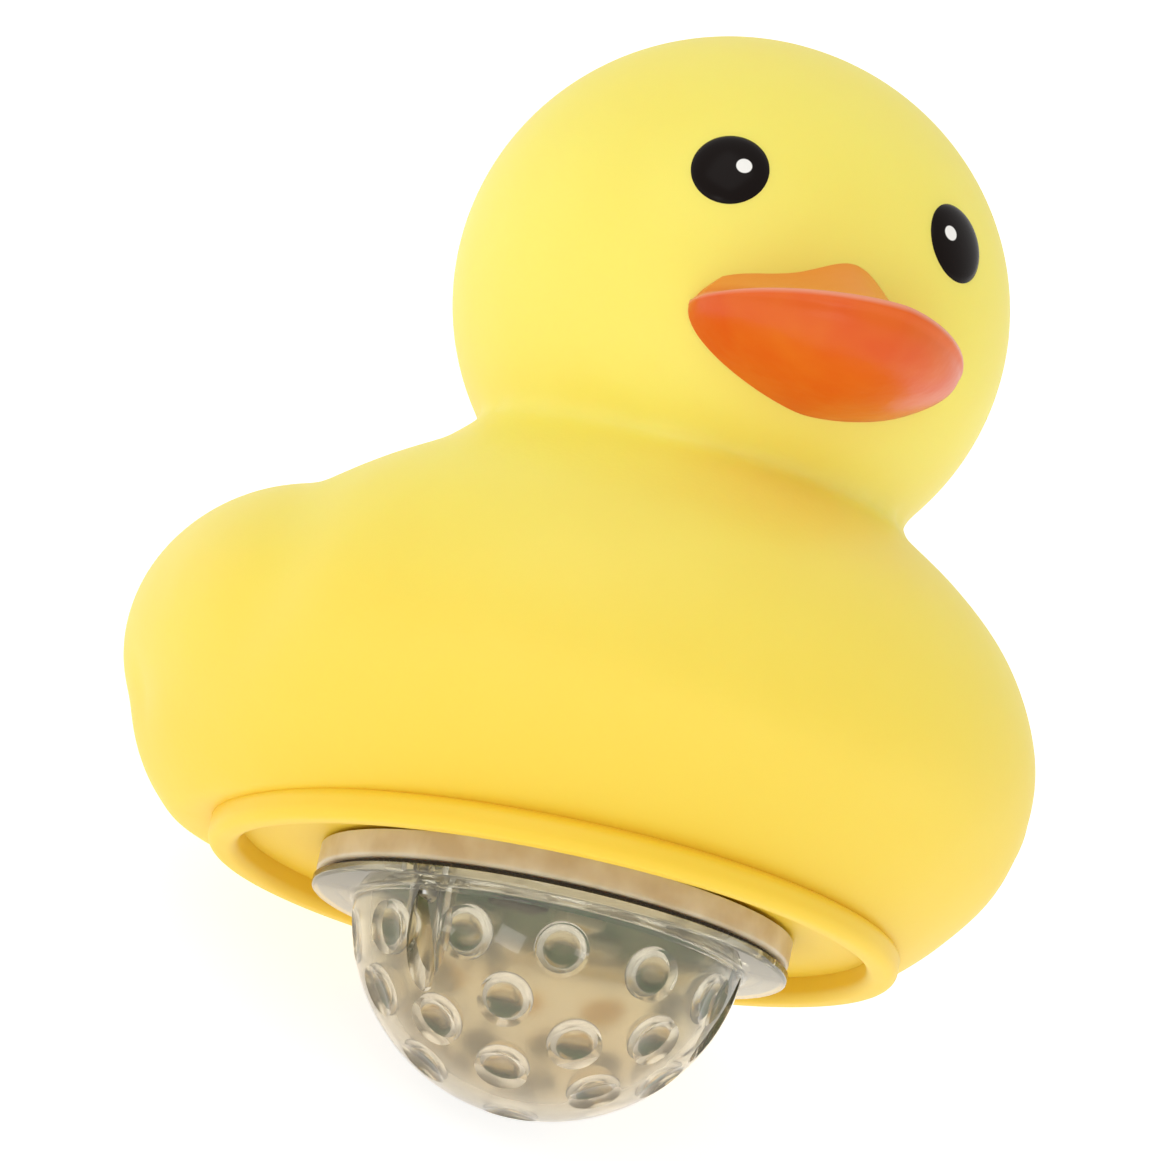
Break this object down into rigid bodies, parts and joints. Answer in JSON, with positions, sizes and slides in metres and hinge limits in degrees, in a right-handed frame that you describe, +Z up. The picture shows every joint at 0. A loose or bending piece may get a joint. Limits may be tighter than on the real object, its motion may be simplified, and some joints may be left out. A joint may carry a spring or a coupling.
{
  "type": "rubber duck",
  "caption": "Hollow vinyl bath duck with a clear dimpled lamp dome screwed under its foot rim; it rests leaned back on the dome and the rear of the rim.",
  "frame": {"origin": "centre of the outline on the surface that the duck rests on", "axes": "+Z up, -Y where the duck faces, +X to the duck's left; the duck leans back about X"},
  "size_m": [0.1174, 0.1304, 0.1337],
  "materials": {
    "duck_vinyl": "yellow blown vinyl, soft satin",
    "beak_paint": "sprayed orange, satin gloss",
    "eye_paint": "black enamel paint, glossy",
    "eye_glint_paint": "white paint dot",
    "housing_plastic": "beige translucent moulding",
    "seal_rubber": "black rubber",
    "clear_plastic": "clear moulded, polished",
    "screw_steel": "zinc plated",
    "board_laminate": "green solder mask",
    "led_plastic": "white body with a clear window",
    "chip_plastic": "black epoxy",
    "switch_metal": "drawn can",
    "tray_plastic": "black moulding",
    "cell_metal": "plain jacket over a metal can",
    "contact_steel": "nickel plated strip"
  },
  "bodies": {
    "root": {"duck_shell": "duck_vinyl", "lamp_housing": "housing_plastic", "seal_ring": "seal_rubber", "dome_lens": "clear_plastic", "dome_screw_1": "screw_steel", "dome_screw_2": "screw_steel", "dome_screw_3": "screw_steel", "circuit_board": "board_laminate", "led_1": "led_plastic", "led_2": "led_plastic", "led_3": "led_plastic", "control_chip": "chip_plastic", "tilt_switch": "switch_metal", "battery_tray": "tray_plastic", "battery_1": "cell_metal", "battery_2": "cell_metal", "contact_bridge": "contact_steel", "contact_minus": "contact_steel", "contact_plus": "contact_steel"}
  },
  "joints": []
}
